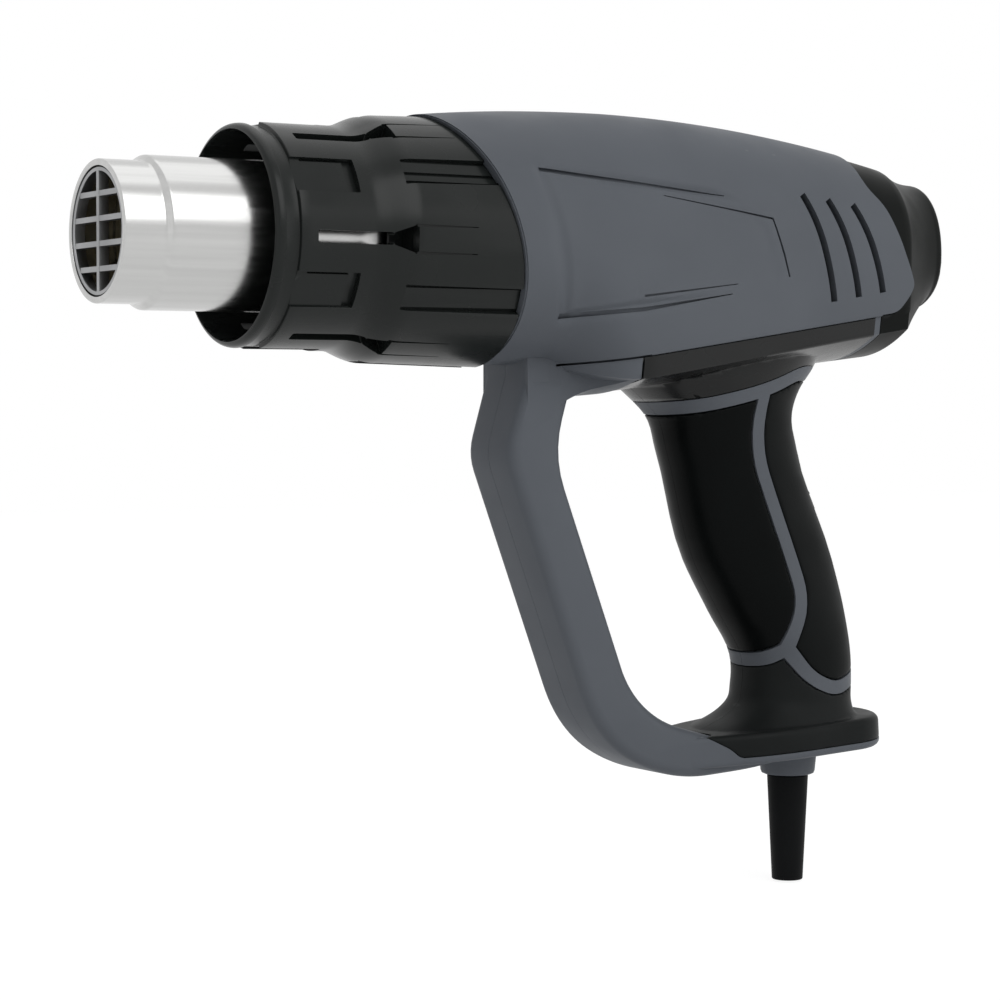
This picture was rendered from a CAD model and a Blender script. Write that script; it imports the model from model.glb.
from math import asin, atan, cos, pi, radians, sin, sqrt

import bmesh
import bpy
import numpy as np
from mathutils import Matrix, Vector


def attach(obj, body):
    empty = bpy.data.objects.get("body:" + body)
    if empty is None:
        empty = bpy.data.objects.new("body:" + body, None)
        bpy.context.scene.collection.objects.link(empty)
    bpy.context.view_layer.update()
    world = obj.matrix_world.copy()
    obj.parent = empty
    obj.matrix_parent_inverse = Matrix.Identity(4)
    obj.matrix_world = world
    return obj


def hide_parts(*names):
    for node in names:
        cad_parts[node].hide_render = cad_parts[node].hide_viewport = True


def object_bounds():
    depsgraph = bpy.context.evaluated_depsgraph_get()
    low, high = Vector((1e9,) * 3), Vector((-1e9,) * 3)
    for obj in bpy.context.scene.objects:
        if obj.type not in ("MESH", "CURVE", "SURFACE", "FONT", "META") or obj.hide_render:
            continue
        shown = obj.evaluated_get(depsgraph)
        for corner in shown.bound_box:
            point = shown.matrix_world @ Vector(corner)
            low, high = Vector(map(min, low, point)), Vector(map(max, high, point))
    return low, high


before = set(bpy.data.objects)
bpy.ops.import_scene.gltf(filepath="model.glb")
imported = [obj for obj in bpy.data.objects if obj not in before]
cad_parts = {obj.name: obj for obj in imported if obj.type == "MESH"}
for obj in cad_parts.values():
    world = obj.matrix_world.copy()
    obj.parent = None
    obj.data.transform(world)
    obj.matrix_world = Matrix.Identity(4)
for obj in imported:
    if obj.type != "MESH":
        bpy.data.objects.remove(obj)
CAD_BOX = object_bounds()
scene = bpy.context.scene

# Sizes in millimetres, as in the solids; +X the way the air flows, +Y the left side, +Z up
MM = 0.001
GAP = 0.3
WALL = 2.4
SOFT = 2.0
TRIM = 4.2
STEP = 0.8
REACH = 260.0
LIP = 0.5
SEAM_GAP = 0.1
TINY = 1e-9

# Barrel
CAP_LENGTH = 19.0
CAP_FACE = (11.3, 16.4, 11.0)
CAP_EDGE = 3.0
TONGUE = 11.2
PLUG = 5.0
WAIST_X = 60.0
SEAM_X = 143.4
SEAM_Z = -30.0
SEAM_RADIUS = 120.0
HALF_WIDTHS = (24.6, 28.3, 32.4)
TOPS = (24.9, 31.5, 33.2)
FRONT_BOTTOM = 30.6
CREASE_REAR_Z = -15.6
CREASE_SLOPE = -0.145
BELLY_REAR = 28.5
BELLY_SLOPE = 0.114
BELLY_FADE = 24.0
BELLY_END = 15.0
BAND_FRONT = 109.4
BAND_BREAK = 0.9
CREASE_FLOOR = 0.96
BAND_REAR = CAP_LENGTH + TONGUE + 2.2
BAND_TALL = (4.7, 5.8)
BAND_TAPER = 0.7
UPPER_POWER = 2.3
UPPER_FADE = 0.25
LOWER_POWER = 5.0
LOWER_FADE = 2.95
UPPER_POINTS = 160
LOWER_POINTS = 34
BAND_POINTS = 8
FINE_STEP = 0.6
COARSE_STEP = 4.0

# Heat shroud and nozzle
SHROUD_LENGTH = 67.6
SLEEVE_LENGTH = 28.0
CONE_LENGTH = 7.0
SLEEVE_RADIUS = 27.6
CONE_RADIUS = 30.5
SHROUD_RADIUS = 31.8
SHROUD_WALL = 2.2
SPIGOT_RADIUS = 29.4
SPIGOT_LENGTH = 15.0
NOZZLE_REACH = 34.0
NOZZLE_RADIUS = 18.4
COLLAR_RADIUS = 17.0
COLLAR_LENGTH = 11.0
MOUTH_RADIUS = 15.4
SHEET = 0.9
BAR_PITCH = 5.9
BAR = 1.3
SECTORS = 6
ROUND = 160
SHROUD_FRONT = SEAM_X + SHROUD_LENGTH
SLEEVE_END = SHROUD_FRONT - SLEEVE_LENGTH
CONE_END = SLEEVE_END - CONE_LENGTH
MOUTH_X = SHROUD_FRONT + NOZZLE_REACH

# Handle
NECK_X = 66.3
NECK_Z = -43.0
GRIP_LENGTH = 66.0
LEAN = 0.375
ANKLE_Z = NECK_Z - GRIP_LENGTH
GRIP_HALF_DEPTH = 21.6
HANDLE_RING = 96
HANDLE_ROWS = 5
HANDLE_POWER = 2.2

# Foot, bow and boot
FOOT_X = 42.55
FOOT_Z = -130.4
FOOT_TILT = 3.5
FOOT_THICK = 8.4
FOOT_HALF_WIDTH = 19.5
FOOT_REAR = 25.0
FOOT_FRONT = 40.0
FOOT_TAPER = 24.0
FOOT_HEEL = 10.0
FOOT_EDGE = 1.6
FOOT_CORNER = 10.0
BOW_HALF_WIDTH = 11.2
BOW_DEPTH = 13.8
BOW_EDGE = 3.0
BOW_KNEE_X = 138.6
BOW_KNEE_Z = -53.5
BOW_LOW_X = FOOT_X + 73.2
BOW_LOW_Z = FOOT_Z + 15.9
BOW_TOP = (BOW_KNEE_X - 5.8, BOW_KNEE_Z + 20)
ROOT_TOP = -20.0
COLLAR_LOW = 7.4
COLLAR_DROP = 11.2
BOOT_LENGTH = 29.0
BOOT_TOP_RADIUS = 5.6
BOOT_TIP_RADIUS = 4.2
CORD_RADIUS = 3.2
BOOT_TOP = FOOT_Z - COLLAR_DROP
BOOT_SEAT = FOOT_Z + 1.5
BOOT_NECK = BOOT_TOP_RADIUS - 0.6
BOOT_FLANGE = 2.6

# Switch and screws
SWITCH_Z = -58.0
SWITCH_HALF_WIDTH = 6.2
SWITCH_HALF_LENGTH = 9.8
SWITCH_DEPTH = 15.0
SEAT_DEPTH = 2.2
FLUSH = 0.3
BEZEL = 1.4
PIN_RADIUS = 1.1
SCREW_RADIUS = 1.4
HEAD_RADIUS = 2.6
HEAD_HEIGHT = 2.2
SCREW_LENGTH = 13.0
SCREW_RING = 32
CROSS = (1.6, 0.4)
BOSS_RADIUS = HEAD_RADIUS + 1.6
# Places of the screws in the side view, and the depth of each seat
SCREW_PLACES = (
    (44, 23.6, 6), (115, 25.6, 6), (115, -24, 6), (BOW_KNEE_X - 7.6, BOW_KNEE_Z + 1.5, 5),
    (FOOT_X + 56, FOOT_Z + 4.2, 5), (69, -57, 5), (50.925, -100, 5))


# Mesh building
def new_object(name, points, faces):
    data = bpy.data.meshes.new(name)
    data.from_pydata([tuple(p) for p in points], [], faces)
    work = bmesh.new()
    work.from_mesh(data)
    bmesh.ops.recalc_face_normals(work, faces=work.faces)
    work.to_mesh(data)
    work.free()
    made = bpy.data.objects.new(name, data)
    scene.collection.objects.link(made)
    return made


def loft(rings, closed=False):
    count = len(rings[0])
    faces = []
    rows = len(rings)
    for r in range(rows if closed else rows - 1):
        low, high = r * count, ((r + 1) % rows) * count
        for i in range(count):
            j = (i + 1) % count
            faces.append((low + i, low + j, high + j, high + i))
    if not closed:
        faces.append(tuple(range(count))[::-1])
        faces.append(tuple((rows - 1) * count + i for i in range(count)))
    return new_object("work", np.vstack(rings), faces)


def bake(body):
    graph = bpy.context.evaluated_depsgraph_get()
    data = bpy.data.meshes.new_from_object(body.evaluated_get(graph))
    body.modifiers.clear()
    old = body.data
    body.data = data
    bpy.data.meshes.remove(old)
    return body


def drop(body):
    data = body.data
    bpy.data.objects.remove(body)
    bpy.data.meshes.remove(data)


def combine(body, way, tools):
    for tool in tools:
        step = body.modifiers.new(way, "BOOLEAN")
        step.operation = way
        step.solver = "MANIFOLD"
        step.object = tool
        tool.hide_render = True
    bake(body)
    for tool in tools:
        drop(tool)
    return body


def join(body, *tools):
    return combine(body, "UNION", tools)


def cut(body, *tools):
    return combine(body, "DIFFERENCE", tools)


def common(body, *tools):
    return combine(body, "INTERSECT", tools)


def copy(body):
    twin = bpy.data.objects.new("work", body.data.copy())
    scene.collection.objects.link(twin)
    return twin


# Lines and outlines
def rounded(points, radius, steps=6):
    p = np.asarray(points, float)
    line = [p[0]]
    for a, b, c in zip(p, p[1:], p[2:]):
        into, away = a - b, c - b
        reach = min(radius, 0.45 * np.linalg.norm(into), 0.45 * np.linalg.norm(away))
        start = b + into / np.linalg.norm(into) * reach
        end = b + away / np.linalg.norm(away) * reach
        for t in np.linspace(0, 1, steps):
            line.append((1 - t) ** 2 * start + 2 * t * (1 - t) * b + t * t * end)
    line.append(p[-1])
    return np.array(line)


def rounded_loop(points, radius, steps=6):
    p = np.asarray(points, float)
    around = np.vstack([p[-1:], p, p[:1]])
    return rounded(around, radius, steps)[1:-1]


def bend(start, middle, end, steps=10):
    t = np.linspace(0, 1, steps)[:, None]
    a, b, c = (np.asarray(p, float) for p in (start, middle, end))
    return (1 - t) ** 2 * a + 2 * t * (1 - t) * b + t * t * c


def turned_left(outline):
    x, z = outline[:, 0], outline[:, 1]
    area = np.sum(x * np.roll(z, -1) - np.roll(x, -1) * z)
    return outline if area > 0 else outline[::-1]


def shrink(outline, amount):
    before = outline - np.roll(outline, 1, 0)
    after = np.roll(outline, -1, 0) - outline
    sides = []
    for way in (before, after):
        unit = way / np.maximum(np.linalg.norm(way, axis=1), TINY)[:, None]
        sides.append(np.column_stack([-unit[:, 1], unit[:, 0]]))
    spread = np.maximum(1 + np.sum(sides[0] * sides[1], axis=1), 0.4)
    return outline + (sides[0] + sides[1]) / spread[:, None] * amount


def across(uv, w):
    return np.column_stack([uv[:, 0], np.full(len(uv), w), uv[:, 1]])


def slab(outline, low, high, edge=0.0, place=across, steps=5):
    outline = turned_left(np.asarray(outline, float))
    if edge == 0:
        return loft([place(outline, low), place(outline, high)])
    turns = np.linspace(0, pi / 2, steps)
    levels = [(low + edge * (1 - cos(t)), edge * (1 - sin(t))) for t in turns]
    levels += [(high - edge * (1 - cos(t)), edge * (1 - sin(t))) for t in turns[::-1]]
    return loft([place(shrink(outline, d), level) for level, d in levels])


def prism(outline, half=60.0, edge=0.0):
    return slab(outline, -half, half, edge)


def ribbon(line, width):
    line = np.asarray(line, float)
    way = np.gradient(line, axis=0)
    way /= np.linalg.norm(way, axis=1)[:, None]
    out = np.column_stack([-way[:, 1], way[:, 0]]) * width / 2
    return np.vstack([line + out, (line - out)[::-1]])


def strip(line, width):
    return prism(ribbon(line, width))


def block(x0, x1, y0, y1, z0, z1, edge=0.0):
    return slab([(x0, z0), (x1, z0), (x1, z1), (x0, z1)], y0, y1, edge)


def disc(radius, count):
    a = np.arange(count) * 2 * pi / count
    return radius * np.cos(a), radius * np.sin(a)


def turn_x(profile, closed=False, count=ROUND):
    rings = []
    for radius, x in profile:
        y, z = disc(radius, count)
        rings.append(np.column_stack([np.full(count, x), y, z]))
    return loft(rings, closed)


def turn_z(profile, x, closed=False, count=64):
    rings = []
    for radius, z in profile:
        a, b = disc(radius, count)
        rings.append(np.column_stack([x + a, b, np.full(count, z)]))
    return loft(rings, closed)


def rod(radius, place, low, high, count=32):
    a, b = disc(radius, count)
    return slab(np.column_stack([place[0] + a, place[1] + b]), low, high)


# Forms of the housing
def bulge(value, power):
    return np.sign(value) * np.abs(value) ** (2 / power)


def through(x, sizes):
    rear, waist, front = sizes
    first = (waist - rear) / (WAIST_X - CAP_LENGTH)
    second = (front - waist) / (SEAM_X - WAIST_X)
    turn = (second - first) / (SEAM_X - CAP_LENGTH)
    return rear + first * (x - CAP_LENGTH) + turn * (x - CAP_LENGTH) * (x - WAIST_X)


def smooth(value, start, end):
    t = np.clip((value - start) / (end - start), 0, 1)
    return t * t * (3 - 2 * t)


def lerp(first, second, share):
    return first + (second - first) * share


def fading(x):
    return smooth(x, SEAM_X - BELLY_END - BELLY_FADE, SEAM_X - BELLY_END)


def barrel_size(x, inset):
    ahead = fading(x)
    bottom = lerp(BELLY_REAR + BELLY_SLOPE * (x - CAP_LENGTH), FRONT_BOTTOM, ahead)
    return (through(x, HALF_WIDTHS) - inset, through(x, TOPS) - inset, bottom - inset,
            UPPER_POWER - UPPER_FADE * ahead, LOWER_POWER - LOWER_FADE * ahead)


def arc(size, start, end, count):
    half, top, bottom, power, low = size
    a = np.linspace(start, end, count)
    c, s = np.cos(a), np.sin(a)
    c[np.abs(c) < TINY] = 0
    p = np.where(s < 0, low, power)
    return np.column_stack([half * bulge(c, p), np.where(s < 0, bottom, top) * bulge(s, p)])


def angle_at(size, z):
    return -asin(min((-z / size[2]) ** (size[4] / 2), 1))


def crease(x):
    return CREASE_REAR_Z + CREASE_SLOPE * (x - CAP_LENGTH)


def mirrored(x, side):
    ring = np.vstack([side, (side * (-1, 1))[-2:0:-1]])
    return np.column_stack([np.full(len(ring), x), ring])


# Soft grooves round the plain panel: line, depth and half-width at both ends
PANEL = [(139.5, 17.2), (88, 13.1), (74, 9.5), (70, 5.5), (65, -6.4), (67, -10), (74, -11), (131, -19.2)]
GROOVES = (
    ([(139.5, 17.2), (108, 14.7), (88, 13.1), (79, 11)], (0.7, 1.2, 0.9, 0), (0.7, 1.1, 0.9, 0.7)),
    ([(139.5, 17.2), (135.5, -1), (131, -19.2)], (0.8, 0.9, 1.0), (1.8, 2.4, 1.6)),
    ([(131, -19.2), (112, -16.5), (100, -14.8), (80, -11.8)], (1.1, 1.3, 0.9, 0), (1.3, 1.5, 1.2, 0.8)),
    ([(116, -13.2), (104, -11.5), (90, -9.5)], (0.5, 0.5, 0), (0.6, 0.6, 0.6)),
)
PANEL_DEPTH = 0.4
PANEL_SLOPE = 3.0


def along(points, line):
    """Distance of points to a line of segments, and how far along its corners the nearest place lies."""
    best = np.full(len(points), np.inf)
    place = np.zeros(len(points))
    for i in range(len(line) - 1):
        a, b = np.asarray(line[i], float), np.asarray(line[i + 1], float)
        t = np.clip((points - a) @ (b - a) / np.dot(b - a, b - a), 0, 1)
        far = np.linalg.norm(points - a - t[:, None] * (b - a), axis=1)
        place = np.where(far < best, i + t, place)
        best = np.minimum(best, far)
    return best, place


def inside(points, outline):
    a, b = np.asarray(outline, float), np.roll(np.asarray(outline, float), -1, 0)
    z = points[:, 1:2]
    crossed = (a[:, 1] > z) != (b[:, 1] > z)
    with np.errstate(divide="ignore", invalid="ignore"):
        x = a[:, 0] + (z - a[:, 1]) / (b[:, 1] - a[:, 1]) * (b[:, 0] - a[:, 0])
    return np.sum(crossed & (points[:, 0:1] < x), axis=1) % 2 == 1


def dip(x, z):
    points = np.column_stack([np.full(len(z), x), z])
    far, _ = along(points, PANEL + PANEL[:1])
    total = np.where(inside(points, PANEL), PANEL_DEPTH * smooth(far, 0, PANEL_SLOPE), 0)
    for line, depths, widths in GROOVES:
        far, place = along(points, line)
        depth, width = (np.interp(place, range(len(line)), values) for values in (depths, widths))
        total = np.maximum(total, depth * np.exp(-(far / width) ** 2))
    return total


def crease_at(x, size):
    return max(crease(x), -CREASE_FLOOR * size[2])


def underside(x, inset, z):
    size = barrel_size(x, inset + STEP * (1 - fading(x)))
    curved = arc(size, angle_at(size, z), -pi / 2, LOWER_POINTS)
    y, bottom = curved[0, 0], -size[2]
    edge = (y - BAND_TAPER, z - lerp(*BAND_TALL, smooth(x, BAND_REAR, BAND_FRONT)))
    band = np.linspace((y, z), edge, BAND_POINTS, endpoint=False)
    slope = bend(edge, (0.5 * y, bottom), (0, bottom), LOWER_POINTS - BAND_POINTS)
    return lerp(np.vstack([band, slope]), curved, fading(x))


def creased_ring(x, inset):
    upper = barrel_size(x, inset)
    z = crease_at(x, upper)
    lip = LIP * (1 - 0.9 * fading(x))
    above = arc(upper, pi / 2, angle_at(upper, z + lip), UPPER_POINTS)
    if inset == 0:
        above *= (1 - dip(x, above[:, 1]) / np.linalg.norm(above, axis=1))[:, None]
    y = above[-1, 0]
    edge = np.array([(y - 0.3 * lip, z + 0.3 * lip), (y - lip, z)])
    return mirrored(x, np.vstack([above, edge, underside(x, inset, z)]))


def plain_ring(x, inset, count=UPPER_POINTS):
    return mirrored(x, arc(barrel_size(x, inset), pi / 2, -pi / 2, count))


def stations(start, end, fine):
    low, high = (PANEL[4][0] - 3, PANEL[0][0] + 3) if fine else (end, end)
    marks = [np.arange(start, low, COARSE_STEP), np.arange(low, high, FINE_STEP),
             np.arange(high, end, COARSE_STEP), [end]]
    return np.unique(np.round(np.concatenate(marks), 6))


def barrel(inset, ring=creased_ring, start=CAP_LENGTH - 2, end=SEAM_X + 24):
    return loft([ring(x, inset) for x in stations(start, end, ring is creased_ring and inset == 0)])


def under(drop_by=0.0):
    return prism([(-REACH, crease(-REACH) - drop_by), (-REACH, -2 * REACH), (REACH, -2 * REACH),
                  (REACH, crease(REACH) - drop_by)])


def handle_x(z):
    return NECK_X + LEAN * (z - NECK_Z)


# Stations of the handle: height, middle, half-depth and half-width
HANDLE_STATIONS = np.array([
    (-26, 68.7, 31.4, 23.2), (-31, 70.3, 30.8, 21.6), (-36.5, 68.9, 25.4, 19.2), (-43, 66.3, 20.4, 17.2),
    (-53, handle_x(-53) + 1, 19.4, 16.5), (-82.6, handle_x(-82.6) + 1.6, 21, 16.8),
    (-97, handle_x(-97) + 0.6, 18.9, 16.2), (-109, handle_x(-109) + 0.4, 16.4, 15.4),
    (-117, handle_x(-109) + 0.2, 16.4, 15.4), (-121.5, handle_x(-109) + 0.8, 17.1, 15.6),
    (-125, handle_x(-109) + 2.5, 20.4, 16.6), (-127.6, handle_x(-109) + 4, 25.4, 18)])


def eased(stations, rows):
    z = stations[:, 0]
    slope = np.gradient(stations, z, axis=0)
    made = []
    for i in range(len(z) - 1):
        span = z[i + 1] - z[i]
        for t in np.linspace(0, 1, rows, endpoint=False):
            a, b = 2 * t ** 3 - 3 * t ** 2 + 1, t ** 3 - 2 * t ** 2 + t
            c, d = 3 * t ** 2 - 2 * t ** 3, t ** 3 - t ** 2
            row = a * stations[i] + b * span * slope[i] + c * stations[i + 1] + d * span * slope[i + 1]
            row[0] = z[i] + span * t
            made.append(row)
    made.append(stations[-1])
    return made


def ring_z(z, x, depth, width, power, count=HANDLE_RING):
    a = np.arange(count) * 2 * pi / count
    c, s = np.cos(a), np.sin(a)
    c[np.abs(c) < TINY] = 0
    s[np.abs(s) < TINY] = 0
    return np.column_stack([x + depth * bulge(c, power), width * bulge(s, power), np.full(count, z)])


def handle(inset):
    rings = [ring_z(z, x, depth - inset, width - inset, HANDLE_POWER)
             for z, x, depth, width in eased(HANDLE_STATIONS, HANDLE_ROWS)]
    if inset > 0:
        rings.append(rings[-1] + (0, 0, -4))
    return loft(rings)


def tilted(uv, w):
    c, s = cos(radians(FOOT_TILT)), sin(radians(FOOT_TILT))
    return np.column_stack([FOOT_X + c * uv[:, 0] + s * w, uv[:, 1], FOOT_Z - s * uv[:, 0] + c * w])


def foot_outline(inset):
    half, rear = FOOT_HALF_WIDTH - inset, FOOT_REAR - inset
    a = np.linspace(pi / 2, 1.5 * pi, 40)
    back = np.column_stack([-FOOT_HEEL + (rear - FOOT_HEEL) * np.cos(a), half * np.sin(a)])
    front = rounded([(-FOOT_HEEL, -half), (FOOT_FRONT - FOOT_TAPER, -half),
                     (FOOT_FRONT, -BOW_HALF_WIDTH)], FOOT_CORNER)
    return np.vstack([back, front[1:], (front * (1, -1))[:0:-1]])


def foot(inset):
    return slab(foot_outline(inset), -FOOT_THICK / 2, FOOT_THICK / 2 - inset, FOOT_EDGE, tilted)


# Bow: knee, heel, sole, toe and crook, the last four measured from the middle of the foot
BOW_SLOPE = (BOW_KNEE_X - BOW_LOW_X) / (BOW_KNEE_Z - BOW_LOW_Z)
BOW_STRETCH = sqrt(1 + BOW_SLOPE ** 2)
BOW_ACROSS = BOW_DEPTH * BOW_STRETCH
KNEE_ROUND = 2.5
HEEL_DROP = 13.5
HEEL_STEPS = 16
SOLE = (45, -9.4)
TIP = (19.4, -7.8)
TOE_LOW = (3.4, -5.4)
TOE_HIGH = (3.4, 1.4)
INSTEP = ((23.4, -0.6), (43, 5))
TOE_ROUND = 6
CROOK = 4.5
CROOK_BEND = (55.4, 9.4)
CROOK_STEPS = 20


def from_foot(place, grow_x=0.0, grow_z=0.0):
    return np.array((FOOT_X + place[0] + grow_x, FOOT_Z + place[1] + grow_z))


def bow(grow):
    d = grow * BOW_STRETCH
    top_x, top_z = BOW_TOP
    outer = rounded([(top_x + d, top_z), (BOW_KNEE_X + d, BOW_KNEE_Z), (BOW_LOW_X + d, BOW_LOW_Z)],
                    2 * KNEE_ROUND)
    turn = np.array((BOW_LOW_X + d - HEEL_DROP * BOW_SLOPE, BOW_LOW_Z - HEEL_DROP - grow / 2))
    sole, tip = from_foot(SOLE, 0, -grow), from_foot(TIP, 0, -grow)
    middle, end = (turn + sole) / 2, (sole + tip) / 2
    heel = np.vstack([bend(outer[-1], turn, middle, HEEL_STEPS), bend(middle, sole, end, HEEL_STEPS)[1:]])
    toe = rounded([end, tip, from_foot(TOE_LOW, -grow, -grow), from_foot(TOE_HIGH, -grow, grow),
                   *(from_foot(place, 0, grow) for place in INSTEP)], TOE_ROUND)
    low = (BOW_LOW_X - BOW_ACROSS + CROOK * BOW_SLOPE - d, BOW_LOW_Z + CROOK)
    crook = bend(toe[-1], from_foot(CROOK_BEND, -d, grow), low, CROOK_STEPS)
    inner = rounded([low, (BOW_KNEE_X - BOW_ACROSS - d, BOW_KNEE_Z), (top_x - BOW_ACROSS - d, top_z)],
                    4 * KNEE_ROUND)
    outline = np.vstack([outer, heel[1:], toe[1:], crook[1:], inner[1:]])
    return prism(outline, BOW_HALF_WIDTH + grow, BOW_EDGE)


def bow_bore():
    d = WALL * BOW_STRETCH
    line = np.array([BOW_TOP, (BOW_KNEE_X, BOW_KNEE_Z), (BOW_LOW_X, BOW_LOW_Z)])
    return prism(np.vstack([line - (d, 0), (line - (BOW_ACROSS - d, 0))[::-1]]), BOW_HALF_WIDTH - WALL)


# Root of the bow under the barrel: place along the barrel, half-width, side edge and lowest line
ROOT_REAR = BAND_FRONT + GAP
ROOT_STATIONS = np.array([
    (ROOT_REAR, 27.6, -34, -38.3), (ROOT_REAR + 3.7, 21.6, -35.6, -38.6), (ROOT_REAR + 7.7, 15.1, -37.2, -39),
    (ROOT_REAR + 11.7, 11.8, -39.5, -41.5), (ROOT_REAR + 15.7, 11, -43, -45), (BOW_TOP[0], 11, -43, -45)])


def root(grow):
    rings = []
    for x, half, edge, low in eased(ROOT_STATIONS, HANDLE_ROWS):
        wall = [(0, ROOT_TOP), (half + grow, ROOT_TOP), (half + grow, edge - grow + 1)]
        belly = bend((half + grow, edge - grow), (0.6 * half, low - grow), (0, low - grow))
        rings.append(mirrored(x, np.vstack([wall, belly])))
    rings[0][:, 0] -= grow
    rings[-1][:, 0] += grow
    return loft(rings)


def form(inset):
    return join(barrel(inset), handle(inset), foot(inset))


# Ribs of the grip and fields of the pads in the side view
NECK_LINE = [(115, -43), (92, -42.4), (82, -41.2), (64, -37), (50, -31.8), (38, -33.5), (20, -36)]
SPINE_LINE = [NECK_LINE[3], (65.4, -52.7), (57.6, -73), (49.4, -93), (52.6, -106)]
FRONT_LINE = [SPINE_LINE[-1], (57, -109.4), (66, -110.6), (90, -110.8)]
REAR_LINE = [SPINE_LINE[-1], (46, -114.2), (38, -117.6), (30, -115.4), (4, -107)]
CORNER = 9.0
NECK_JOINT = NECK_LINE[3]
FOOT_PAD_EDGE = [from_foot(place) for place in ((45.4, 7.9), (41.4, 4.9), (29.5, -1.4), (27, -3.8))]
FOOT_PAD_REAR = (4, FOOT_Z + 0.1)
FOOT_PAD_ROUND = 3


def rib_lines():
    return [rounded(line, CORNER) for line in (NECK_LINE, SPINE_LINE, FRONT_LINE, REAR_LINE)]


def ribs(width):
    return [strip(line, width) for line in rib_lines()]


def pad_fields():
    neck, spine, front, rear = rib_lines()
    joint = int(np.argmin(np.linalg.norm(neck - NECK_JOINT, axis=1)))
    return {
        "neck_pad": np.vstack([
            [(BAND_REAR, crease(BAND_REAR)), (BAND_FRONT, crease(BAND_FRONT)), (BAND_FRONT, NECK_LINE[1][1])],
            neck[1:-1], [(BAND_REAR, NECK_LINE[6][1])]]),
        "front_grip": np.vstack([
            neck[:joint + 1], spine[1:], front[1:], [(NECK_LINE[0][0], FRONT_LINE[-1][1])]]),
        "rear_grip": np.vstack([neck[joint:], rear[::-1], spine[::-1][1:-1]]),
        "foot_pad": np.vstack([
            rear[::-1], front[1:], rounded([*FOOT_PAD_EDGE, FOOT_PAD_REAR], FOOT_PAD_ROUND)]),
    }


def half_space(side, gap=GAP / 2):
    low, high = (gap, REACH) if side > 0 else (-REACH, -gap)
    return block(-REACH, REACH, low, high, -REACH, REACH)


# Places in the frame of the tilted switch
SWITCH_TILT = atan(LEAN)
SWITCH_X = handle_x(SWITCH_Z) + 1 - GRIP_HALF_DEPTH + 1.7
BEZEL_HALF_WIDTH = SWITCH_HALF_WIDTH + 1.3
BEZEL_HALF_LENGTH = SWITCH_HALF_LENGTH + 1.5


def at_switch(body):
    body.data.transform(Matrix.Translation((SWITCH_X, 0, SWITCH_Z)) @ Matrix.Rotation(SWITCH_TILT, 4, "Y"))
    return body


def switch_hole():
    seat = block(-12, SEAT_DEPTH, -BEZEL_HALF_WIDTH - GAP, BEZEL_HALF_WIDTH + GAP,
                 -BEZEL_HALF_LENGTH - GAP, BEZEL_HALF_LENGTH + GAP)
    well = block(-12, SWITCH_DEPTH + 6, -SWITCH_HALF_WIDTH - GAP, SWITCH_HALF_WIDTH + GAP,
                 -SWITCH_HALF_LENGTH - GAP, SWITCH_HALF_LENGTH + GAP)
    return at_switch(join(seat, well))


# Angles above which an edge stays sharp, and the rounding of the soft pads
SHARP = 32
SHARP_PAD = 60
SHARP_NOZZLE = 40
SHARP_INNER = 35
PAD_VOXEL = 0.45
PAD_PASSES = 4
PAD_SHARE = 0.3


# Finishing of a piece: real size, smooth shading, its body, the nodes it stands for and its slot
def finish(body, name, material, nodes=(), rides="housing", angle=SHARP):
    body.name = name
    body.data.name = name
    body.hide_render = False
    body.data.transform(Matrix.Scale(MM, 4))
    body.data.materials.clear()
    body.data.materials.append(material)
    body.data.shade_smooth()
    body.data.set_sharp_from_angle(angle=radians(angle))
    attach(body, rides)
    if nodes:
        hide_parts(*nodes)
    return body


def soften(body):
    grid = body.modifiers.new("grid", "REMESH")
    grid.mode = "VOXEL"
    grid.voxel_size = PAD_VOXEL
    ease = body.modifiers.new("ease", "SMOOTH")
    ease.factor = 0.5
    ease.iterations = PAD_PASSES
    thin = body.modifiers.new("thin", "DECIMATE")
    thin.ratio = PAD_SHARE
    return bake(body)


# Materials
def linear(*levels):
    shares = [v / 255 for v in levels]
    return tuple(v / 12.92 if v < 0.0408 else ((v + 0.055) / 1.055) ** 2.4 for v in shares) + (1.0,)


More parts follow.
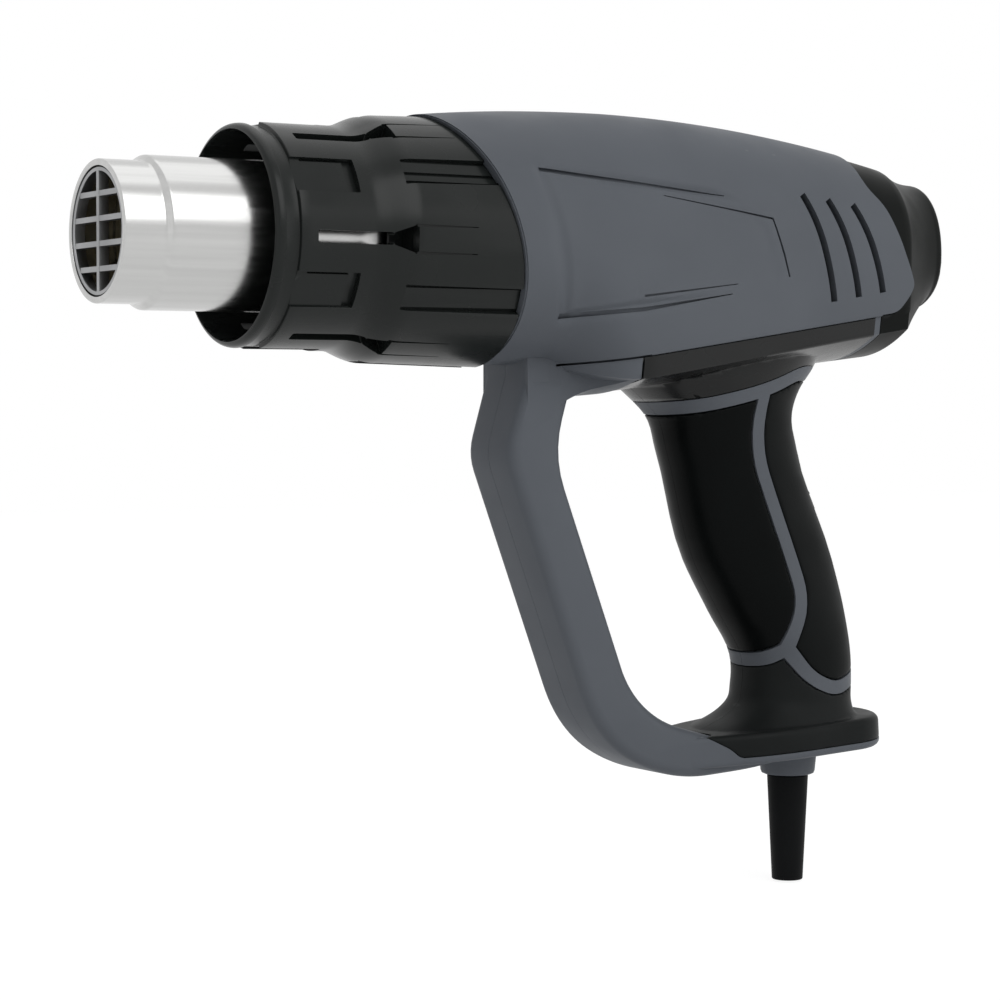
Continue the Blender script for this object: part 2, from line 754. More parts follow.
class Finish:
    """A node material with moulded or drawn grain, uneven gloss and worn edges."""

    def __init__(self, name, metallic=0.0, ior=1.46):
        self.material = bpy.data.materials.new(name)
        self.material.use_nodes = True
        self.tree = self.material.node_tree
        self.shader = self.tree.nodes["Principled BSDF"]
        self.shader.inputs["Metallic"].default_value = metallic
        self.shader.inputs["IOR"].default_value = ior
        self.place = self.node("ShaderNodeTexCoord").outputs["Object"]

    def node(self, kind, **values):
        made = self.tree.nodes.new(kind)
        for key, value in values.items():
            setattr(made, key, value)
        return made

    def link(self, start, end):
        self.tree.links.new(start, end)

    def noise(self, scale, detail=3.0, stretch=None):
        place = self.place
        if stretch:
            mapping = self.node("ShaderNodeMapping")
            mapping.inputs["Scale"].default_value = stretch
            self.link(place, mapping.inputs["Vector"])
            place = mapping.outputs["Vector"]
        made = self.node("ShaderNodeTexNoise")
        made.inputs["Scale"].default_value = scale
        made.inputs["Detail"].default_value = detail
        self.link(place, made.inputs["Vector"])
        return made.outputs["Fac"]

    def spread(self, value, low, high, start=0.3, end=0.7):
        made = self.node("ShaderNodeMapRange")
        for key, number in (("From Min", start), ("From Max", end), ("To Min", low), ("To Max", high)):
            made.inputs[key].default_value = number
        self.link(value, made.inputs["Value"])
        return made.outputs["Result"]

    def mix(self, factor, first, second):
        made = self.node("ShaderNodeMix", data_type="RGBA")
        self.link(factor, made.inputs["Factor"])
        for socket, value in ((made.inputs[6], first), (made.inputs[7], second)):
            if isinstance(value, tuple):
                socket.default_value = value
            else:
                self.link(value, socket)
        return made.outputs[2]

    def paint(self, color, vary=0.06, patch=45.0, worn=None, start=0.53, end=0.62, stretch=None):
        dark = tuple(c * (1 - vary) for c in color[:3]) + (1.0,)
        light = tuple(min(c * (1 + vary), 1) for c in color[:3]) + (1.0,)
        out = self.mix(self.spread(self.noise(patch, 4, stretch), 0, 1), dark, light)
        if worn:
            bare = self.node("ShaderNodeNewGeometry").outputs["Pointiness"]
            edge = self.spread(bare, 0, 0.5, start, end)
            out = self.mix(edge, out, worn)
        self.link(out, self.shader.inputs["Base Color"])
        return self

    def gloss(self, low, high, patch=70.0, stretch=None):
        self.link(self.spread(self.noise(patch, 3, stretch), low, high), self.shader.inputs["Roughness"])
        return self

    def grain(self, scale, strength, depth=0.00004, stretch=None):
        made = self.node("ShaderNodeBump")
        made.inputs["Strength"].default_value = strength
        made.inputs["Distance"].default_value = depth
        self.link(self.noise(scale, 2, stretch), made.inputs["Height"])
        self.link(made.outputs["Normal"], self.shader.inputs["Normal"])
        return self


BRUSHED = (0.02, 1.0, 1.0)
slate = Finish("slate_plastic", ior=1.2)
slate.paint(linear(93, 97, 103), 0.05, 30, linear(112, 115, 120), 0.64, 0.75)
slate.gloss(0.42, 0.54).grain(2200, 0.12)
rubber = Finish("grip_rubber", ior=1.14).paint(linear(18, 20, 20), 0.12, 60, linear(38, 40, 40))
rubber.gloss(0.4, 0.55).grain(1600, 0.3)
foot_black = Finish("foot_rubber", ior=1.16).paint(linear(27, 29, 29), 0.12, 60, linear(50, 52, 52))
foot_black.gloss(0.4, 0.55).grain(1600, 0.3)
grip_black = Finish("grip_gloss", ior=1.12).paint(linear(12, 14, 14), 0.12, 60, linear(30, 32, 32))
grip_black.gloss(0.28, 0.38).grain(1800, 0.2)
band_black = Finish("band_black", ior=1.3).paint(linear(22, 23, 23), 0.1, 50, linear(48, 50, 50))
band_black.gloss(0.22, 0.32).grain(1800, 0.12)
cap_black = Finish("cap_black", ior=1.12).paint(linear(19, 21, 20), 0.08, 40, linear(46, 48, 48))
cap_black.gloss(0.32, 0.46).grain(2000, 0.16)
charcoal = Finish("shroud_plastic", ior=1.28)
charcoal.paint(linear(26, 29, 28), 0.08, 40, linear(54, 57, 56), 0.57, 0.68)
charcoal.gloss(0.2, 0.3).grain(2000, 0.14)
steel = Finish("nozzle_steel", 1.0).paint(linear(188, 188, 187), 0.05, 420, stretch=BRUSHED)
steel.gloss(0.18, 0.26, 900, BRUSHED).grain(1400, 0.06, 0.00002, BRUSHED)
wire_steel = Finish("grille_steel", 1.0).paint(linear(150, 151, 152), 0.08, 120)
wire_steel.gloss(0.3, 0.5).grain(3000, 0.2)
boot_black = Finish("boot_rubber", ior=1.14).paint(linear(17, 18, 19), 0.12, 80, linear(40, 41, 42))
boot_black.gloss(0.46, 0.62).grain(1500, 0.3)
switch_black = Finish("switch_plastic", ior=1.25).paint(linear(22, 23, 24), 0.1, 60, linear(60, 61, 62))
switch_black.gloss(0.24, 0.36).grain(2200, 0.1)
zinc = Finish("zinc_steel", 1.0).paint(linear(176, 178, 180), 0.06, 140)
zinc.gloss(0.28, 0.44).grain(2600, 0.2)
ceramic = Finish("heater_ceramic").paint(linear(214, 208, 192), 0.08, 90)
ceramic.gloss(0.6, 0.8).grain(1400, 0.5)
mica = Finish("mica").paint(linear(176, 165, 136), 0.2, 160)
mica.gloss(0.3, 0.55).grain(600, 0.4)
wire = Finish("heating_wire", 1.0).paint(linear(134, 126, 116), 0.15, 200)
wire.gloss(0.4, 0.6).grain(2400, 0.3)
green = Finish("board_green").paint(linear(44, 92, 56), 0.15, 220)
green.gloss(0.35, 0.5).grain(1800, 0.3)
pale = Finish("pale_plastic").paint(linear(210, 204, 190), 0.05, 80)
pale.gloss(0.4, 0.55).grain(2000, 0.2)
copper = Finish("copper_case", 1.0).paint(linear(184, 120, 66), 0.12, 160)
copper.gloss(0.3, 0.5).grain(2200, 0.2)


# Shells of the housing: three bowed vent slits, each one lower at its top and higher at its foot
SLITS = 3
SLIT_PITCH = 8.7
SLIT_WIDTH = 2.2
SLIT_TOP = (58, 14)
SLIT_BEND = (50, 0)
SLIT_FOOT = (48.2, -13.8)
SLIT_RISE = 1.4
SLIT_STEPS = 14


def slit_line(i):
    shift = i * SLIT_PITCH
    (top, top_z), (middle, middle_z), (low, low_z) = SLIT_TOP, SLIT_BEND, SLIT_FOOT
    return bend((top - shift, top_z - i), (middle - shift, middle_z),
                (low - shift, low_z + i * SLIT_RISE), SLIT_STEPS)


def slit_cuts():
    return [strip(slit_line(i), SLIT_WIDTH) for i in range(SLITS)]


# Sharp lines round the plain panel: line, widths at its corners and depth under the surface
FINE_LINE = 0.6
CREASE_DEPTH = 0.9
RIM_BREAK = 0.35
PANEL_LINES = (
    ([(139.7, 17), (116, 15), (84.5, 12.5)], (1.0, 0.9, 0.2), 1.6),
    ([(104, 11.8), (80.6, 8.8), (69.3, 7.2), (65.6, -2), (63.8, -7.7)], (0.2, 0.4, 0.6, 0.6, 0.5), 1.2),
    ([(132.4, -18.9), (110.4, -16.9), (82.8, -12.5)], (1.3, 1.0, 0.2), 1.7),
    ([(110.7, -13.6), (80.9, -9.9)], (0.6, 0.2), 1.1),
)


def panel_lines():
    return [cut(strip(line, np.array(widths)[:, None]), barrel(depth, plain_ring))
            for line, widths, depth in PANEL_LINES]


def crease_line():
    start, end = BAND_FRONT - 2, SEAM_X - BELLY_END - 4
    line = np.linspace((start, crease(start)), (end, crease(end)), 2)
    return cut(strip(line, FINE_LINE), barrel(STEP + CREASE_DEPTH, plain_ring))


def seam_drum(radius):
    a = np.linspace(0, 2 * pi, 360, endpoint=False)
    outline = np.column_stack([SEAM_X + SEAM_RADIUS + radius * np.cos(a), SEAM_Z + radius * np.sin(a)])
    return prism(outline)


# Front edge of the cap in the side view, measured from the cap's length
CAP_LINE = [(15.3, 60), (14.6, 17.5), (9.4, 12.3), (4.5, 2.7), (1.1, -4.5), (-0.4, -8.7), (1.3, -11.6)]
CAP_ROUND = 4


def cap_edge(shift, crook):
    points = [(CAP_LENGTH + x + shift, z) for x, z in CAP_LINE] + list(crook)
    return np.vstack([[(-REACH, CAP_LINE[0][1])], rounded(points, CAP_ROUND)])


def cap_field(gap):
    low = -1.4 * BELLY_REAR
    middle, end = CAP_LENGTH + TONGUE / 2, CAP_LENGTH + TONGUE
    crook = [(middle + gap, crease(middle) + gap), (end + gap, crease(end) + gap)]
    return prism(np.vstack([cap_edge(gap, crook), [(end + gap, low), (-REACH, low)]]))


def plug_field():
    return prism(np.vstack([cap_edge(PLUG, []), [(-REACH, crease(CAP_LENGTH) + WALL)]]))


def boot_socket():
    bore, seat = BOOT_NECK + GAP, BOOT_NECK + BOOT_FLANGE + 0.4
    return join(turn_z([(bore, BOOT_TOP - 5), (bore, BOOT_SEAT + 1)], FOOT_X),
                turn_z([(seat, BOOT_SEAT - GAP), (seat, ANKLE_Z - 11)], FOOT_X))


def boot_collar():
    low = BOOT_TOP
    return turn_z([(COLLAR_LOW - 1, low), (COLLAR_LOW - 0.3, low + 0.3), (COLLAR_LOW, low + 1),
                   (COLLAR_LOW + 1, FOOT_Z)], FOOT_X)


def hollow():
    room = barrel(WALL, plain_ring, CAP_LENGTH - 4, SEAM_X + 8)
    floor = barrel(SOFT + GAP + WALL + STEP, plain_ring, CAP_LENGTH - 4, SEAM_X + 8)
    room = join(cut(room, under(-1)), common(floor, under(-2)))
    grip = common(handle(SOFT + GAP + WALL), block(0, REACH, -60, 60, ANKLE_Z - 13, REACH))
    mouth = turn_x([(SPIGOT_RADIUS + GAP, SEAM_X - SPIGOT_LENGTH - 2), (SPIGOT_RADIUS + GAP, REACH)])
    return join(room, grip, mouth, bow_bore())


def bosses():
    posts = [rod(BOSS_RADIUS, (x, z), -REACH / 8, REACH / 8) for x, z, _ in SCREW_PLACES]
    room = join(barrel(WALL / 2, plain_ring), handle(SOFT + GAP + WALL / 2), bow(-WALL / 2))
    return common(join(*posts), room)


def housing(outer, fields):
    body = join(copy(outer), bow(0), root(0), boot_collar())
    body = join(cut(body, hollow()), bosses())
    seats = []
    for name, field in fields.items():
        seat = cut(prism(field), *ribs(TRIM - 2 * GAP), form(SOFT + GAP), bow(0), root(0), boot_collar())
        seats.append(common(seat, under()) if name == "neck_pad" else seat)
    body = cut(body, *seats)
    rim = cut(seam_drum(SEAM_RADIUS + RIM_BREAK), barrel(RIM_BREAK, plain_ring))
    body = cut(body, seam_drum(SEAM_RADIUS), rim, cap_field(GAP), switch_hole())
    return cut(body, *panel_lines(), crease_line(), *slit_cuts(), boot_socket())


def housing_half(body, side):
    made = common(copy(body), half_space(side, SEAM_GAP / 2))
    if side < 0:
        for x, z, seat in SCREW_PLACES:
            made = cut(made, rod(HEAD_RADIUS + 1.4 * GAP, (x, z), -REACH / 4, -seat),
                       rod(SCREW_RADIUS + GAP, (x, z), -SCREW_LENGTH, 9))
    return made


SIDES = ((1, "left"), (-1, "right"))


def build_housing():
    fields = pad_fields()
    outer = form(0)
    skin = cut(copy(outer), form(SOFT), *ribs(TRIM), switch_hole(), bow(GAP), root(BAND_BREAK))
    body = housing(outer, fields)
    for side, word in SIDES:
        half = housing_half(body, side)
        finish(half, f"shell_{word}", slate.material, [f"housing_{word}"])
    looks = {"neck_pad": band_black, "front_grip": grip_black, "rear_grip": rubber, "foot_pad": foot_black}
    for name, field in fields.items():
        pad = common(copy(skin), prism(field))
        if name == "neck_pad":
            pad = common(pad, under(GAP))
        else:
            soften(pad)
        for side, word in SIDES:
            half = common(copy(pad), half_space(side, SEAM_GAP / 2))
            finish(half, f"{name}_{word}_skin", looks[name].material, [f"{name}_{word}"],
                   angle=SHARP_PAD)
        drop(pad)
    for spare in (outer, skin, body):
        drop(spare)


# Rear cap: from its small flat face to the section of the barrel
CAP_POINTS = 40
CAP_POWER = 2.2
CAP_LIFT = 1.25 * CAP_EDGE
CAP_WALL = WALL + GAP + 1.4


def cap_section(x):
    size = barrel_size(x, STEP)
    z = crease_at(x, size)
    upper = arc(size, pi / 2, angle_at(size, z), CAP_POINTS)
    return np.vstack([upper[:-1], underside(x, 0, z)])


def cap_ring(x, grow, blend=0.0):
    full = cap_section(x)
    way = full / np.linalg.norm(full, axis=1)[:, None]
    half, top, bottom = (size + grow for size in CAP_FACE)
    sizes = np.column_stack([np.full(len(way), half), np.where(way[:, 1] > 0, top, bottom)])
    far = np.sum((np.abs(way) / sizes) ** CAP_POWER, axis=1) ** (-1 / CAP_POWER)
    return mirrored(x, lerp(way * far[:, None], full, blend))


def cap_inside(x, wall):
    full = cap_section(x)
    return mirrored(x, full * (1 - wall / np.linalg.norm(full, axis=1))[:, None])


def build_cap():
    turns = np.linspace(0, pi / 2 - 0.2, 7)
    rings = [cap_ring(CAP_EDGE * (1 - cos(t)), CAP_LIFT * sin(t)) for t in turns]
    rings += [cap_ring(lerp(CAP_EDGE, CAP_LENGTH + 1, t), CAP_LIFT, t) for t in np.linspace(0, 1, 14)]
    rings += [cap_ring(x, CAP_LIFT, 1) for x in np.arange(CAP_LENGTH + 3, CAP_LENGTH + 22, 2)]
    body = common(loft(rings), cap_field(0))
    plug = common(barrel(WALL + GAP, plain_ring, CAP_LENGTH - 2, CAP_LENGTH + 26), plug_field())
    inner = loft([cap_ring(CAP_EDGE + 1, CAP_LIFT - CAP_WALL), cap_inside(CAP_LENGTH + 1, CAP_WALL),
                  cap_inside(CAP_LENGTH + 24, CAP_WALL)])
    body = cut(join(body, plug), inner)
    finish(body, "rear_cap_form", cap_black.material, ["rear_cap"])


# Cuts that stand out from the barrel's axis at an angle
def radial(outline, low, high, angle):
    c, s = cos(radians(angle)), sin(radians(angle))

    def place(uv, w):
        return np.column_stack([uv[:, 0], w * c - uv[:, 1] * s, w * s + uv[:, 1] * c])

    return slab(outline, low, high, 0, place)


def oblong(x0, x1, width, radius):
    return rounded_loop([(x0, -width / 2), (x1, -width / 2), (x1, width / 2), (x0, width / 2)], radius)


# Heat shroud: rim and ring groove at the mouth, pockets, slots with arrow openings, channels of the drum
RIM = 2.6
RING = 3.4
RING_DEPTH = 1.0
POCKET_WIDTH = 9.4
POCKET_LENGTH = 20.0
POCKET_STEP = 2.8
POCKET_LINE = 0.8
SLOT_WIDTH = 3.0
SLOT_LENGTH = 19.7
SLOT_TURN = 2.5
ARROW_HALF_WIDTH = 3.6
TONGUE_LINE = 0.7
TONGUE_LENGTH = 16.0
CHANNEL_WIDTH = 7.0
CHANNEL_EDGE = 0.9
OUTSIDE = 40.0
WELL_FLOOR = 21.8
WELL_TOP = 26.8
WELL_WIDTH = 10.0
WELL_FRONT = SLEEVE_END - 4.4
SLOT_REAR = SLEEVE_END - 2.2
ARROW_REAR = CONE_END - 1
ARROW_TIP = 1.4
LINE_DEPTH = 0.9
WEB_X = SEAM_X + 8
WEB_THICK = 2.4


def arrow_well(angle):
    outline = oblong(CONE_END - 4, WELL_FRONT, WELL_WIDTH, 0.5)
    return radial(outline, WELL_FLOOR - 1, WELL_TOP, angle)


def slot_cuts(angle):
    inside_wall = SLEEVE_RADIUS - 5
    slot = radial(oblong(SLOT_REAR, SLOT_REAR + SLOT_LENGTH, SLOT_WIDTH, 0.6), inside_wall, OUTSIDE, angle)
    arrow = rounded_loop([(ARROW_REAR, -ARROW_HALF_WIDTH), (SLOT_REAR, -ARROW_TIP), (SLOT_REAR, ARROW_TIP),
                          (ARROW_REAR, ARROW_HALF_WIDTH)], 0.5)
    cuts = [slot, radial(arrow, WELL_FLOOR, OUTSIDE, angle)]
    for way in (-1, 1):
        middle = way * (ARROW_HALF_WIDTH - TONGUE_LINE / 2)
        front, rear = ARROW_REAR + 1, ARROW_REAR - TONGUE_LENGTH
        line = [(front, middle - TONGUE_LINE / 2), (front, middle + TONGUE_LINE / 2),
                (rear, middle + 0.1), (rear, middle - 0.1)]
        cuts.append(radial(line, CONE_RADIUS - LINE_DEPTH, OUTSIDE, angle))
    return cuts


def pocket_cuts(angle):
    floor = SLEEVE_RADIUS - RING_DEPTH
    front = SHROUD_FRONT - RIM
    rear = front - POCKET_LENGTH
    pocket = radial(oblong(rear, front - 0.5, POCKET_WIDTH, 1), floor, OUTSIDE, angle)
    step = radial(oblong(rear, rear + POCKET_STEP, POCKET_WIDTH, 0.4), floor - LINE_DEPTH, OUTSIDE, angle)
    line = oblong(rear, rear + 0.7 * POCKET_LENGTH, POCKET_LINE, 0.3) + (0, (POCKET_WIDTH - POCKET_LINE) / 2)
    return [pocket, step, radial(line, floor - LINE_DEPTH, OUTSIDE, angle)]


def channel_cuts(angle):
    rear, front = SEAM_X - 10, CONE_END + 1
    lines = [-0.5, 0.5, -0.1] if angle < 180 else [-0.5, 0.5]
    cuts = [radial(oblong(rear, front, CHANNEL_WIDTH, 0.8), CONE_RADIUS - 0.5, OUTSIDE, angle)]
    for share in lines:
        groove = oblong(rear, front, CHANNEL_EDGE, 0.3) + (0, share * (CHANNEL_WIDTH - CHANNEL_EDGE))
        cuts.append(radial(groove, CONE_RADIUS - 1.2, OUTSIDE, angle))
    return cuts


def shroud_cuts():
    cuts = []
    for k in range(SECTORS):
        angle = 360 / SECTORS * k
        between = angle + 180 / SECTORS
        cuts += slot_cuts(angle - SLOT_TURN) + pocket_cuts(between) + channel_cuts(between)
    return cuts


def build_shroud():
    front = SHROUD_FRONT
    r = SLEEVE_RADIUS
    ring_front = front - RIM
    ring_rear = ring_front - RING
    profile = rounded([(SHROUD_RADIUS, SEAM_X - 8), (CONE_RADIUS + 0.1, CONE_END), (r, SLEEVE_END),
                       (r, ring_rear - 4)], 2.5)
    ring = rounded([(r, ring_rear - 3), (r, ring_rear - 0.2), (r - RING_DEPTH, ring_rear),
                    (r - RING_DEPTH, ring_front), (r - 0.5, ring_front + 0.2)], 0.25, 4)
    lip = bend((r - 0.5, ring_front + 0.6), (r - 0.6, front), (r - SHROUD_WALL - 0.2, front))
    skin = common(turn_x(np.vstack([profile, ring, lip])), seam_drum(SEAM_RADIUS - GAP))
    rear = SEAM_X - SPIGOT_LENGTH
    spigot = turn_x([(SPIGOT_RADIUS, rear), (SPIGOT_RADIUS, CONE_END - 4)])
    narrow, wide = SPIGOT_RADIUS - SHROUD_WALL, r - SHROUD_WALL
    bore = turn_x([(narrow, rear - 1), (narrow, CONE_END - 1), (wide, SLEEVE_END - 1), (wide, front - 1),
                   (wide + 0.5, front + 1)])
    web = cut(turn_x([(SPIGOT_RADIUS - 1, WEB_X), (SPIGOT_RADIUS - 1, WEB_X + WEB_THICK)]),
              turn_x([(NOZZLE_RADIUS + GAP, WEB_X - 1), (NOZZLE_RADIUS + GAP, WEB_X + 4)]))
    wells = [arrow_well(360 / SECTORS * k - SLOT_TURN) for k in range(SECTORS)]
    body = cut(join(cut(join(skin, spigot), bore), web, *wells), *shroud_cuts())
    finish(body, "heat_shroud_form", charcoal.material, ["heat_shroud"])


# Nozzle and grille
BASE_X = 98.0
BASE_THICK = 6.0
BASE_RADIUS = 25.0
FLANGE_RADIUS = BASE_RADIUS - 4.8
FLANGE_THICK = 1.1
GRILLE_THICK = 2.8
GRILLE_SET = 0.3


def build_nozzle():
    flange = BASE_X + BASE_THICK + GAP
    step = MOUTH_X - COLLAR_LENGTH
    outer = rounded([(FLANGE_RADIUS, flange), (FLANGE_RADIUS, flange + FLANGE_THICK),
                     (NOZZLE_RADIUS, flange + FLANGE_THICK), (NOZZLE_RADIUS, step - 0.7),
                     (COLLAR_RADIUS, step + 0.6), (COLLAR_RADIUS, MOUTH_X - 0.1),
                     (COLLAR_RADIUS - 0.7, MOUTH_X), (MOUTH_RADIUS, MOUTH_X),
                     (MOUTH_RADIUS, MOUTH_X - 0.6)], 0.5)
    inner = [(MOUTH_RADIUS, step + 0.2), (NOZZLE_RADIUS - SHEET, step - 1.4), (NOZZLE_RADIUS - SHEET, flange)]
    body = turn_x(np.vstack([outer, inner]), True, 192)
    finish(body, "nozzle_tube_form", steel.material, ["nozzle_tube"],
           angle=SHARP_NOZZLE)


def build_grille():
    radius = MOUTH_RADIUS - GAP
    x = MOUTH_X - GRILLE_THICK - GRILLE_SET
    end = x + GRILLE_THICK
    ring = rounded([(radius - 1, x), (radius - 1, end), (radius, end), (radius, x)], 0.3)
    body = turn_x(ring, True)

    def reach(z):
        return sqrt((radius - 0.6) ** 2 - z * z)

    bars = [block(x, end, -BAR / 2, BAR / 2, -reach(0), reach(0), 0.3)]
    for row in (-1.5, -0.5, 0.5, 1.5):
        z = row * BAR_PITCH
        half = reach(abs(z) + BAR / 2)
        bars.append(block(x + 0.2, end - 0.2, -half, half, z - BAR / 2, z + BAR / 2, 0.3))
    body = join(body, *bars)
    finish(body, "outlet_grille_form", wire_steel.material, ["outlet_grille"])


# Cord boot
def build_boot():
    tip, flange, inside_top = BOOT_TOP - BOOT_LENGTH, BOOT_NECK + BOOT_FLANGE, BOOT_SEAT + BOOT_FLANGE
    outer = rounded([(CORD_RADIUS, tip), (BOOT_TIP_RADIUS, tip), (BOOT_TOP_RADIUS, BOOT_TOP - GAP),
                     (BOOT_NECK, BOOT_TOP - GAP), (BOOT_NECK, BOOT_SEAT), (flange, BOOT_SEAT),
                     (flange, inside_top), (CORD_RADIUS, inside_top)], 0.5)
    body = turn_z(outer, FOOT_X, True, 96)
    finish(body, "cord_boot_form", boot_black.material, ["cord_boot"])


# Rocker switch
def build_switch():
    face = SEAT_DEPTH - GAP - BEZEL
    well, length = SWITCH_HALF_WIDTH - 1, SWITCH_HALF_LENGTH - 1
    pivot = (SEAT_DEPTH + 2.8, 0)
    rim = block(face, SEAT_DEPTH - GAP, -BEZEL_HALF_WIDTH, BEZEL_HALF_WIDTH,
                -BEZEL_HALF_LENGTH, BEZEL_HALF_LENGTH, 0.5)
    case = block(face + 0.4, SWITCH_DEPTH, -SWITCH_HALF_WIDTH, SWITCH_HALF_WIDTH,
                 -SWITCH_HALF_LENGTH, SWITCH_HALF_LENGTH)
    tabs = [block(SWITCH_DEPTH - 1, SWITCH_DEPTH + 4, -2, 2, z - 0.5, z + 0.5) for z in (-6, 0, 6)]
    body = cut(join(rim, case, *tabs), block(-9, pivot[0] + 4.4, -well, well, -length, length),
               rod(PIN_RADIUS + GAP, pivot, -9, 9))
    body = common(at_switch(body), handle(-FLUSH))
    finish(body, "switch_body_form", switch_black.material, ["switch_body"])
    reach = length - 1.2
    outline = np.vstack([
        bend((face - 0.9, reach), (face + 1.4, 0), (face - 0.9, -reach), 16),
        [(face + 2.6, -reach), (pivot[0] + 2.2, -3), (pivot[0] + 2.2, 3), (face + 2.6, reach)]])
    rocker = cut(prism(outline, well - GAP, 0.4), rod(PIN_RADIUS + GAP / 2, pivot, -9, 9))
    finish(at_switch(rocker), "switch_rocker_form", switch_black.material,
           ["switch_rocker"], "rocker")


# Cross-head screws of the housing
def build_screws():
    profile = rounded([(0.2, -SCREW_LENGTH), (SCREW_RADIUS, 1 - SCREW_LENGTH), (SCREW_RADIUS, 0),
                       (HEAD_RADIUS, 0), (HEAD_RADIUS, HEAD_HEIGHT - 0.6), (HEAD_RADIUS - 0.9, HEAD_HEIGHT),
                       (0.4, HEAD_HEIGHT)], 0.4, 4)
    for i, (x, z, seat) in enumerate(SCREW_PLACES):
        rings = []
        for radius, y in profile:
            a, b = disc(radius, SCREW_RING)
            rings.append(np.column_stack([x + a, np.full(SCREW_RING, -seat - GAP - y), z + b]))
        top = -seat - GAP - HEAD_HEIGHT
        body = loft(rings)
        for wide, tall in (CROSS, CROSS[::-1]):
            body = cut(body, block(x - wide, x + wide, top - 1, top + 1, z - tall, z + tall))
        name = f"housing_screw_{i + 1}"
        finish(body, f"{name}_form", zinc.material, [name])


# Inner pieces keep their solids and take a material
INNER = {
    "heater_base": ceramic, "mica_tube": mica, "mica_cross": mica, "heating_coil": wire,
    "thermal_cutout": copper, "motor_can": cap_black, "motor_end_bell": cap_black, "rectifier_board": green,
    "fan_duct": charcoal, "motor_shaft": steel, "impeller": pale, "cable_clamp": cap_black,
    "terminal_block": pale, "capacitor": pale, "clamp_screw_1": zinc, "clamp_screw_2": zinc,
    "rocker_pin": zinc,
}


def dress_inner():
    for name, look in INNER.items():
        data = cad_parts[name].data
        data.materials.clear()
        data.materials.append(look.material)
        data.shade_smooth()
        data.set_sharp_from_angle(angle=radians(SHARP_INNER))


# Camera, floor and light
CAMERA_PLACE = (0.503161, 0.613786, -0.040168)
CAMERA_TURN = 31.0
CAMERA_RISE = 2.0
CAMERA_LENS = 100.8
TARGET = Vector((0.1, 0.0, -0.04))


def build_camera():
    data = bpy.data.cameras.new("camera")
    data.sensor_width = 36
    data.lens = CAMERA_LENS
    data.clip_start = 0.01
    camera = bpy.data.objects.new("camera", data)
    scene.collection.objects.link(camera)
    turn, rise = radians(CAMERA_TURN), radians(CAMERA_RISE)
    back = Vector((sin(turn) * cos(rise), cos(turn) * cos(rise), sin(rise)))
    right = Vector((-cos(turn), sin(turn), 0))
    up = back.cross(right)
    basis = Matrix((right, up, back)).transposed().to_4x4()
    camera.matrix_world = Matrix.Translation(CAMERA_PLACE) @ basis
    scene.camera = camera


def seen_ray(tree):
    path = tree.nodes.new("ShaderNodeLightPath")
    first = tree.nodes.new("ShaderNodeMath")
    second = tree.nodes.new("ShaderNodeMath")
    for node in (first, second):
        node.operation = "MAXIMUM"
    tree.links.new(path.outputs["Is Camera Ray"], first.inputs[0])
    tree.links.new(path.outputs["Is Glossy Ray"], first.inputs[1])
    tree.links.new(first.outputs[0], second.inputs[0])
    tree.links.new(path.outputs["Is Transmission Ray"], second.inputs[1])
    return second.outputs[0]


FLOOR_SHARE = 0.75
FLOOR_GLOW = 1.2
FLOOR_SIZE = 2.5
FLOOR_DROP = 0.0005
FLOOR_WHITE = (0.95, 0.95, 0.95, 1)


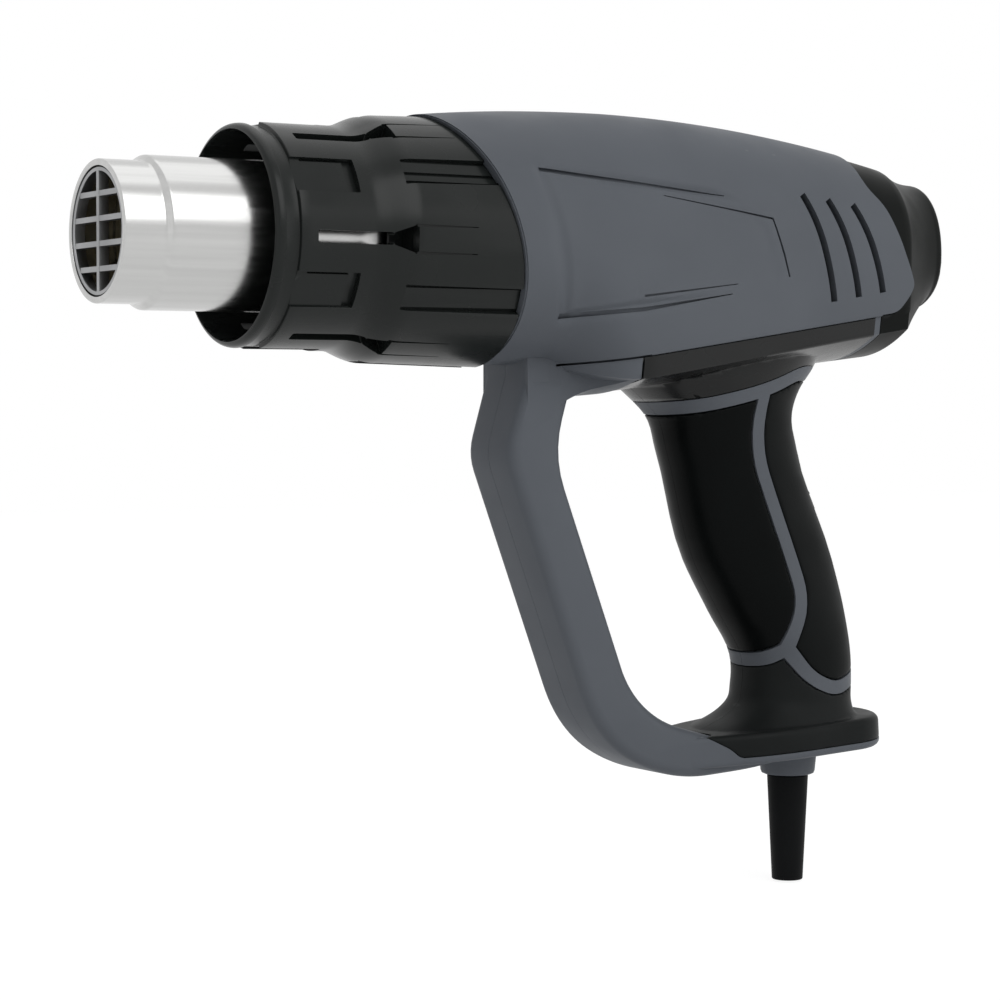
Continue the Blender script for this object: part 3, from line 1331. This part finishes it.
def build_floor(level):
    corners = [(-FLOOR_SIZE, -FLOOR_SIZE), (FLOOR_SIZE, -FLOOR_SIZE), (FLOOR_SIZE, FLOOR_SIZE),
               (-FLOOR_SIZE, FLOOR_SIZE)]
    floor = new_object("floor", [(x, y, level) for x, y in corners], [(0, 1, 2, 3)])
    material = bpy.data.materials.new("floor_white")
    material.use_nodes = True
    tree = material.node_tree
    tree.nodes["Principled BSDF"].inputs["Base Color"].default_value = FLOOR_WHITE
    tree.nodes["Principled BSDF"].inputs["Roughness"].default_value = 0.9
    glow = tree.nodes.new("ShaderNodeEmission")
    glow.inputs["Strength"].default_value = FLOOR_GLOW
    mix = tree.nodes.new("ShaderNodeMixShader")
    share = tree.nodes.new("ShaderNodeMath")
    share.operation = "MULTIPLY"
    share.inputs[1].default_value = FLOOR_SHARE
    tree.links.new(seen_ray(tree), share.inputs[0])
    tree.links.new(share.outputs[0], mix.inputs["Fac"])
    tree.links.new(tree.nodes["Principled BSDF"].outputs[0], mix.inputs[1])
    tree.links.new(glow.outputs[0], mix.inputs[2])
    tree.links.new(mix.outputs[0], tree.nodes["Material Output"].inputs["Surface"])
    floor.data.materials.append(material)


AMBIENT = 0.36


def build_world():
    world = bpy.data.worlds.new("studio")
    world.use_nodes = True
    scene.world = world
    tree = world.node_tree
    back = tree.nodes["Background"]
    strength = tree.nodes.new("ShaderNodeMapRange")
    strength.inputs["To Min"].default_value = AMBIENT
    strength.inputs["To Max"].default_value = 1.0
    tree.links.new(seen_ray(tree), strength.inputs["Value"])
    tree.links.new(strength.outputs["Result"], back.inputs["Strength"])
    back.inputs["Color"].default_value = (1, 1, 1, 1)


# Lamps: place, size and power
LAMPS = {
    "key": ((0.15, 1.0, 0.75), 0.9, 5.6),
    "fill": ((-0.7, 0.8, 0.1), 0.9, 2.2),
    "top": ((0.1, -0.2, 1.1), 1.0, 2.0),
    "front": ((1.2, 0.3, 0.2), 0.8, 0.3),
}


def build_lamps():
    for name, (place, size, power) in LAMPS.items():
        data = bpy.data.lights.new(name, "AREA")
        data.shape = "SQUARE"
        data.size = size
        data.energy = power
        lamp = bpy.data.objects.new(name, data)
        scene.collection.objects.link(lamp)
        lamp.location = place
        lamp.rotation_euler = (TARGET - Vector(place)).to_track_quat("-Z", "Y").to_euler()


scene.view_settings.view_transform = "Standard"
build_camera()
build_world()
build_floor(CAD_BOX[0][2] - FLOOR_DROP)
build_lamps()
build_housing()
build_cap()
build_shroud()
build_nozzle()
build_grille()
build_boot()
build_switch()
build_screws()
dress_inner()
